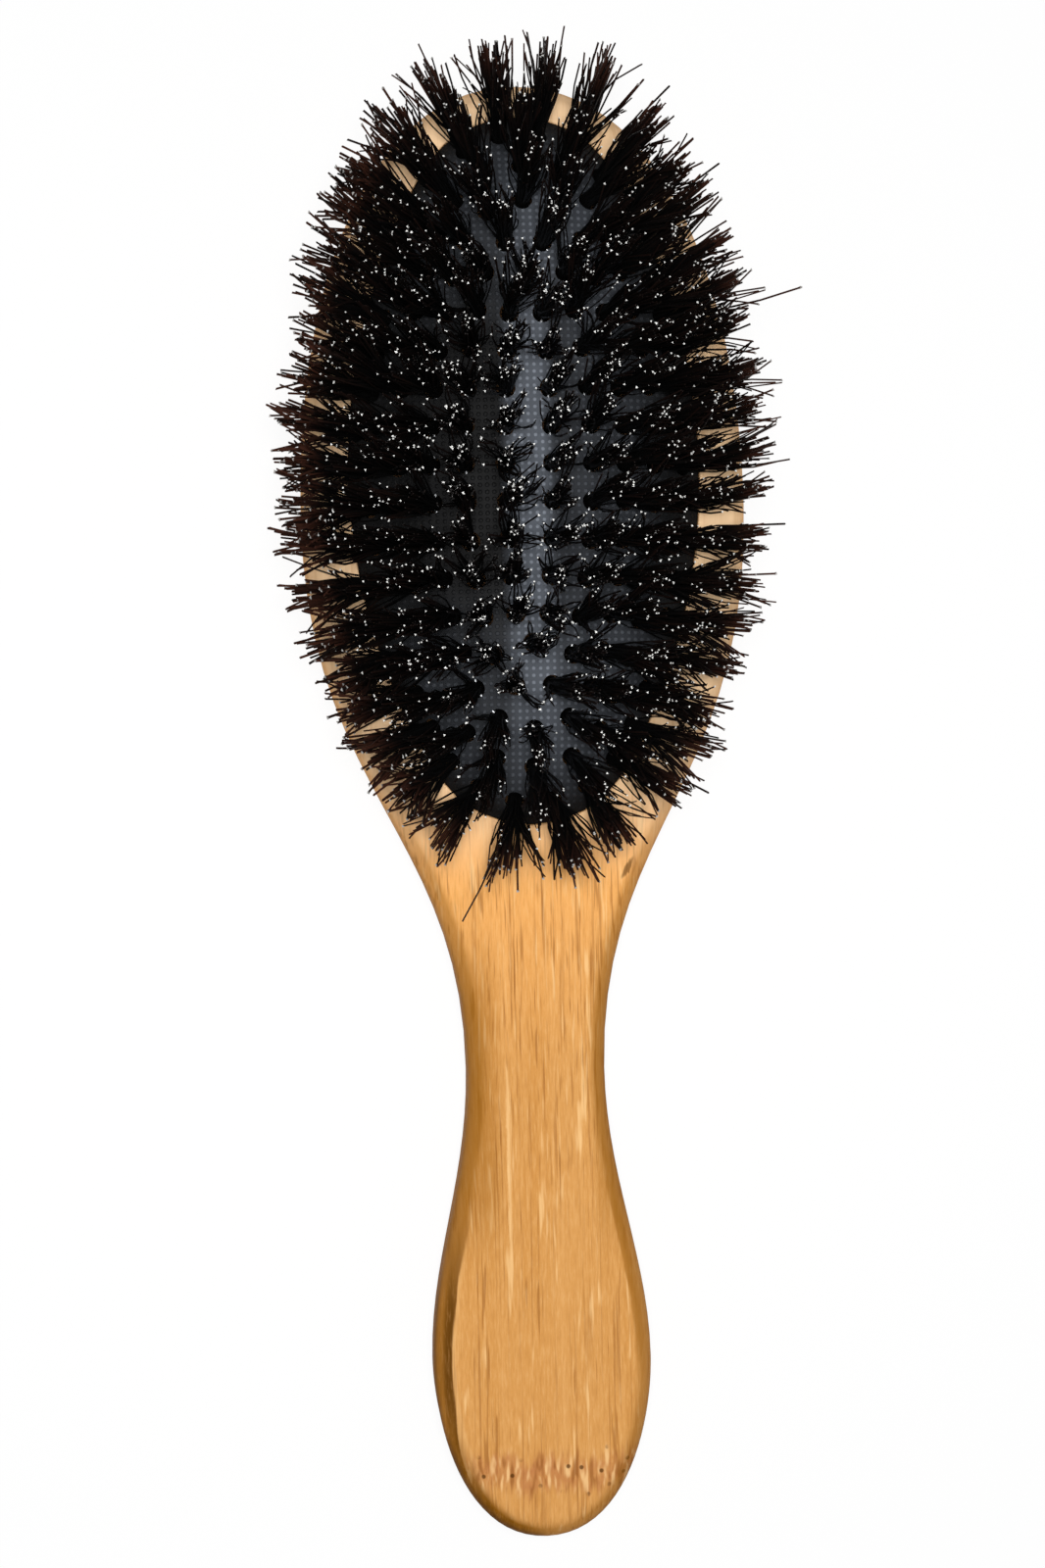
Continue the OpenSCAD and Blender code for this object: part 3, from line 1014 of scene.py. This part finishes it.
class HAIRBRUSH_OT_tufts(bpy.types.Operator):
    """Grows the bristle tufts, ring by ring"""

    bl_idname = "hairbrush.tufts"
    bl_label = "Tufts"

    seed = 11
    # Heights of a bristle's sections as shares of its free length, above the fold
    sections = (0.0, 0.15, 0.42, 0.72, 0.98, 1.0)
    # Where a bristle bends round its pin, below the rubber's surface and beside the pin
    fold_depth = 3.05 * MM
    bend_depth = 2.2 * MM
    pin_clearance = 0.62 * MM
    clumps = 4
    # The tufts left of this x are fuller, as in the photograph, and are of each second kind
    full_side = -10 * MM
    fuller_body = 1.5
    fuller_spray = 1.4
    # How unevenly the tufts stand: their leans in degrees, and their least share of height
    lean_along_ring = 2.4
    lean_over_ring = 2.0
    shortest_tuft = 0.95
    # Height of the stray bristles' tips, and how much thicker they are
    stray_height = 37.5 * MM
    stray_stoutness = 1.4

    def execute(self, context):
        tufts = context.scene.brush_tufts
        chance = random.Random(self.seed)
        bristle = self.bristle()
        kinds = [self.tuft(bristle, tufts, chance, kind) for kind in range(tufts.kinds)]
        material = boar_bristle(tufts)
        for ring in RINGS:
            grown = []
            # The outer rings drift most
            outer = (ring / OUTER_RING) ** 3
            drift = Matrix.Rotation(-outer * tufts.drift / tufts.length, 4, "Y")
            for axes in tuft_places(ring):
                on_left = axes.translation.x < self.full_side
                tuft = copy_of(chance.choice(kinds[on_left::2]), "tuft")
                if ring == OUTER_RING:
                    self.spread_out(
                        tuft, tufts.outer_spread * (2 if on_left else 1), tufts.length)
                turned = Matrix.Rotation(math.pi * chance.randrange(2), 4, "Z")
                lean = self.leant(chance, self.lean_along_ring, "X") @ \
                    self.leant(chance, self.lean_over_ring, "Y")
                grown_to = Matrix.Scale(chance.uniform(self.shortest_tuft, 1.0), 4, (0, 0, 1))
                tuft.data.transform(axes @ lean @ grown_to @ turned)
                root = Matrix.Translation(axes.translation)
                tuft.data.transform(root @ drift @ root.inverted())
                grown.append(tuft)
            if ring == OUTER_RING:
                grown += self.strays(bristle, tufts, chance, context.scene.brush_view)
            piece = join(grown)
            smooth(piece, 60)
            finish_piece(piece, f"tufts_ring_{ring}", material, f"ring_{ring}", "bristle",
                         f"bristles_ring_{ring}")
        for piece in [bristle, *kinds]:
            bpy.data.objects.remove(piece)
        return {"FINISHED"}

    def bristle(self):
        """One straight bristle of a metre's radius, with a section at each whole height."""
        bpy.ops.object.select_all(action="DESELECT")
        bpy.ops.mesh.primitive_circle_add(vertices=3, radius=1.0, fill_type="NGON")
        piece = bpy.context.object
        bpy.ops.object.mode_set(mode="EDIT")
        bpy.ops.mesh.select_all(action="SELECT")
        bpy.ops.mesh.flip_normals()
        for _ in range(len(self.sections) + 1):
            bpy.ops.mesh.extrude_region_move(TRANSFORM_OT_translate={"value": (0, 0, 1)})
        close_shape()
        for name in ("along", "growth", "pale"):
            piece.data.attributes.new(name, "FLOAT", "POINT")
        return piece

    def tuft(self, bristle, tufts, chance, kind):
        """One tuft: a body that closes in points, and loose bristles fanned round it."""
        golden_angle = math.radians(137.508)
        body, spray = (self.fuller_body, self.fuller_spray) if kind % 2 else (1.0, 1.0)
        spread = tufts.spread * body
        loose = tufts.loose * spray
        points = [self.in_disc(chance, 0.3, 1.0) * spread / 2 for _ in range(self.clumps)]
        sprays = [self.in_disc(chance, 0.45, 1.0) * tufts.fan / 2 for _ in range(tufts.sprays)]
        grown = []
        for i in range(tufts.bristles):
            out = math.sqrt((i + 0.5) / tufts.bristles)
            way = i * golden_angle + kind
            foot = Vector((math.cos(way), math.sin(way))) * out
            if chance.random() < loose:
                tip = chance.choice(sprays) + self.in_disc(chance, 0.0, 0.45 * MM)
                height = tufts.length * chance.uniform(1 - tufts.shortening, 1.0)
                bow = self.in_disc(chance, 0.0, 1.5 * MM)
            else:
                tip = (foot * 0.6 + self.in_disc(chance, 0.0, 0.65)) * spread / 2
                nearest = min(points, key=lambda point: (point - tip).length)
                tip = tip.lerp(nearest, tufts.clumping * chance.random())
                height = tufts.length * (1 - tufts.shortening * chance.random() ** 1.4)
                bow = self.in_disc(chance, 0.0, 0.45 * MM)
            tip *= min(1.0, tufts.widest / tip.length)
            foot = foot * (tufts.stem - tufts.bristle) / 2
            copy = copy_of(bristle, "bristle")
            self.shape(copy, tufts, chance, foot, tip, height, bow)
            grown.append(copy)
        return join(grown)

    def spread_out(self, tuft, share_more, full_height):
        """Spreads the tips of a tuft along its ring."""
        for corner in tuft.data.vertices:
            corner.co.y *= 1 + share_more * max(0.0, corner.co.z) / full_height

    def strays(self, bristle, tufts, chance, view):
        """The three long bristles that stand out of the outer ring in the photograph.

        Each has the place where it leaves its tuft, in the photograph's frame, and its bow.
        """
        level = BVHTree.FromPolygons(
            [(x, y, self.stray_height) for x, y in ((-1, -1), (1, -1), (1, 1), (-1, 1))],
            [(0, 1, 2, 3)])
        roots = tuft_places(OUTER_RING)
        grown = []
        for name, leaves, bow in (
            ("stray_right", (748, 286), (-0.3 * MM, -1.0 * MM)),
            ("stray_top", (610, 60), (1.2 * MM, 2.0 * MM)),
            ("stray_bottom", (482, 886), (0.6 * MM, 0.4 * MM)),
        ):
            end = in_view(IMAGE_POINTS[name], view, level)
            start = in_view(leaves, view, level)
            axes = min(roots, key=lambda root: (
                (root @ Vector((0, 0, tufts.length))).xy - start.xy).length)
            tip = axes.inverted() @ end
            copy = copy_of(bristle, name)
            self.shape(copy, tufts, chance, Vector((0.2 * MM, 0)), tip.xy, tip.z, Vector(bow),
                       self.stray_stoutness)
            copy.data.transform(axes)
            grown.append(copy)
        return grown

    def leant(self, chance, degrees, axis):
        """A random turn about an axis, with this standard deviation."""
        return Matrix.Rotation(math.radians(chance.gauss(0, degrees)), 4, axis)

    def in_disc(self, chance, inner, outer):
        way, out = chance.uniform(0, 2 * math.pi), chance.uniform(inner, outer)
        return Vector((math.cos(way), math.sin(way))) * out

    def shape(self, piece, tufts, chance, foot, tip, height, bow, stout=1.0):
        """Bends a straight bristle from its fold under the pin to its cut end.

        foot and tip are its places across the tuft at the rubber and at its cut end.
        """
        thick = tufts.bristle / 2 * chance.uniform(0.8, 1.2) * stout
        # How strongly this bristle's cut end shows the painted highlight, which also widens its
        # tip
        pale = chance.uniform(0.6, 1.0) * (chance.random() < tufts.highlighted_end_share)
        beside_pin = math.copysign(self.pin_clearance + abs(foot.x) * 0.3, foot.x)
        middles = [Vector((0.15 * beside_pin, foot.y * 0.9, -self.fold_depth)),
                   Vector((beside_pin, foot.y * 0.95, -self.bend_depth))]
        for share_up in self.sections:
            flare = share_up ** 1.1
            out = foot.lerp(tip, flare) + bow * math.sin(math.pi * share_up)
            middles.append(Vector((*out, height * share_up)))
        spin = Matrix.Rotation(chance.uniform(0, math.pi / 2), 2)
        growth = chance.random()
        last = len(middles) - 1
        along = [0.0, 0.0, *self.sections]
        data = piece.data
        for corner in data.vertices:
            level = round(corner.co.z)
            thin = 1.0 - 0.15 * along[level] + 0.45 * pale * (level == last)
            offset = spin @ corner.co.xy * thick * thin
            corner.co = middles[level] + Vector((*offset, 0))
            data.attributes["along"].data[corner.index].value = along[level]
        for name, value in (("growth", growth), ("pale", pale)):
            data.attributes[name].data.foreach_set("value", [value] * len(data.vertices))


class HAIRBRUSH_OT_pins(bpy.types.Operator):
    """Gives the wire pins their finish"""

    bl_idname = "hairbrush.pins"
    bl_label = "Pins"

    def execute(self, context):
        wire = drawn_wire(context.scene.brush_pins)
        for ring in RINGS:
            paint(frame["nodes"][f"anchor_pins_ring_{ring}"], wire)
        return {"FINISHED"}


class HAIRBRUSH_OT_stage(bpy.types.Operator):
    """Adds the pale floor, the even light and the lamp beside the camera"""

    bl_idname = "hairbrush.stage"
    bl_label = "Stage"

    floor_size = 6.0
    floor_height = -0.2 * MM
    lamp_place = Vector((-0.03, -0.04, 0.5))
    lamp_aim = Vector((0, -0.05, 0))
    lamp_width = 0.12

    def execute(self, context):
        studio = context.scene.brush_studio
        bpy.ops.object.select_all(action="DESELECT")
        bpy.ops.mesh.primitive_plane_add(
            size=self.floor_size, location=(0, 0, self.floor_height))
        floor = context.object
        floor.name = "floor"
        floor.data.materials.append(self.floor_finish(studio))
        context.scene.world = self.sky(studio)
        self.lamp(studio)
        context.scene.view_settings.view_transform = "Standard"
        return {"FINISHED"}

    def floor_finish(self, studio):
        """A pale floor that shows mostly as plain white and keeps some of its soft shadow."""
        plain_white = 0.9
        finish = new_finish("studio_floor")
        cloud = finish.noise(finish.place(), scale=0.01)
        body = finish.mix(cloud * 0.05, studio.floor, (1, 1, 1))
        lit = finish.node("ShaderNodeBsdfDiffuse", {}, {"Color": body})
        white = finish.node("ShaderNodeEmission", {}, {"Color": (1, 1, 1, 1), "Strength": 1.0})
        camera, glossy, through = (
            finish.node("ShaderNodeLightPath", output=f"Is {kind} Ray")
            for kind in ("Camera", "Glossy", "Transmission"))
        seen = (camera + glossy + through).clamped() * plain_white
        shader = finish.node("ShaderNodeMixShader", {}, {0: seen, 1: lit, 2: white})
        return finish.ends_in(shader)

    def sky(self, studio):
        """Even light from all round, stronger from the right."""
        finish = Finish(bpy.data.worlds.new("studio_sky"))
        way = finish.node("ShaderNodeTexCoord", output="Generated")
        level = finish.parts(way)[0].rises(-0.9, 0.9) * (studio.sky_right - studio.sky_left)
        shader = finish.node(
            "ShaderNodeBackground", {}, {"Strength": level + studio.sky_left})
        return finish.ends_in(shader, "ShaderNodeOutputWorld")

    def lamp(self, studio):
        """A round soft lamp."""
        data = bpy.data.lights.new("key_lamp", "AREA")
        data.shape = "DISK"
        data.size = self.lamp_width
        data.energy = studio.key
        lamp = add_object("key_lamp", data)
        lamp.location = self.lamp_place
        lamp.rotation_euler = (self.lamp_place - self.lamp_aim).to_track_quat("Z", "Y").to_euler()


class HAIRBRUSH_OT_check_points(bpy.types.Operator):
    """Works out how far each thing shows from its image point"""

    bl_idname = "hairbrush.check_points"
    bl_label = "Check the image points"

    # How far to each side of a point's level, in pixels, the tufts' reach is looked for
    band = 110

    def execute(self, context):
        view = context.scene.brush_view
        objects = bpy.data.objects
        layers = [objects[name] for name in ("wood_front", "wood_core", "wood_back")]
        wood = shown_at(np.concatenate([corners(layer) for layer in layers]), view)
        tufts = shown_at(
            np.concatenate([corners(objects[f"tufts_ring_{ring}"]) for ring in RINGS]), view)
        face_height = context.scene.brush_cushion.face_height
        dome = corners(objects["cushion_dome"])
        edge = shown_at(dome[dome[:, 2] < face_height + 0.1 * MM], view)
        node = shown_at([(0, context.scene["bamboo_node_y"], face_height)], view)[0]

        def beside(name, pick):
            """The x of the wood's outline level with the point."""
            level, found = IMAGE_POINTS[name][1], []
            for layer in layers:
                seen = shown_at(corners(layer), view)
                for side in layer.data.edges:
                    (x0, y0), (x1, y1) = (seen[i] for i in side.vertices)
                    if (y0 - level) * (y1 - level) < 0:
                        found.append(x0 + (x1 - x0) * (level - y0) / (y1 - y0))
            return pick(found)

        def reach(name, axis, pick):
            """How far the tufts reach along an image axis, level with the point."""
            level = tufts[:, 1 - axis] - IMAGE_POINTS[name][1 - axis]
            return pick(tufts[abs(level) < self.band, axis])

        strays = {name: tufts[np.hypot(*(tufts - IMAGE_POINTS[name]).T).argmin()]
                  for name in ("stray_right", "stray_top", "stray_bottom")}
        shows = strays | {
            "object_left": (reach("object_left", 0, min), None),
            "object_right": (reach("object_right", 0, max), None),
            "object_top": (None, reach("object_top", 1, min)),
            "butt_end": (None, wood[:, 1].max()),
            "grip_left": (beside("grip_left", min), None),
            "grip_right": (beside("grip_right", max), None),
            "neck_left": (beside("neck_left", min), None),
            "neck_right": (beside("neck_right", max), None),
            "head_right": (beside("head_right", max), None),
            "cushion_top": (None, edge[:, 1].min()),
            "cushion_bottom": (None, edge[:, 1].max()),
            "bamboo_node": (None, node[1]),
            "grain_mark": shown_at([context.scene["grain_mark"]], view)[0],
        }
        off = {
            name: [None if seen is None else round(float(seen - meant), 1)
                   for seen, meant in zip(shown, IMAGE_POINTS[name])]
            for name, shown in shows.items()}
        return {"FINISHED"}


OPERATORS = (
    HAIRBRUSH_OT_camera,
    HAIRBRUSH_OT_wood,
    HAIRBRUSH_OT_cushion,
    HAIRBRUSH_OT_tufts,
    HAIRBRUSH_OT_pins,
    HAIRBRUSH_OT_stage,
    HAIRBRUSH_OT_check_points,
)


class VIEW3D_PT_hairbrush(bpy.types.Panel):
    """Lists the steps of the hairbrush and their settings"""

    bl_label = "Hairbrush"
    bl_space_type = "VIEW_3D"
    bl_region_type = "UI"
    bl_category = "Hairbrush"

    def draw(self, context):
        for operator in OPERATORS:
            self.layout.operator(operator.bl_idname)
        for name, settings in SETTINGS.items():
            box = self.layout.box()
            box.label(text=settings.bl_rna.description)
            for value in settings.__annotations__:
                box.prop(getattr(context.scene, name), value)


def register():
    for settings in SETTINGS.values():
        bpy.utils.register_class(settings)
    for operator in OPERATORS:
        bpy.utils.register_class(operator)
    bpy.utils.register_class(VIEW3D_PT_hairbrush)
    for name, settings in SETTINGS.items():
        setattr(bpy.types.Scene, name, bpy.props.PointerProperty(type=settings))


def unregister():
    for name in SETTINGS:
        delattr(bpy.types.Scene, name)
    bpy.utils.unregister_class(VIEW3D_PT_hairbrush)
    for operator in reversed(OPERATORS):
        bpy.utils.unregister_class(operator)
    for settings in reversed(list(SETTINGS.values())):
        bpy.utils.unregister_class(settings)


def main():
    register()
    bpy.ops.hairbrush.camera()
    bpy.ops.hairbrush.wood()
    bpy.ops.hairbrush.cushion()
    bpy.ops.hairbrush.tufts()
    bpy.ops.hairbrush.pins()
    bpy.ops.hairbrush.stage()
    bpy.ops.hairbrush.check_points()


if __name__ == "__main__":
    main()
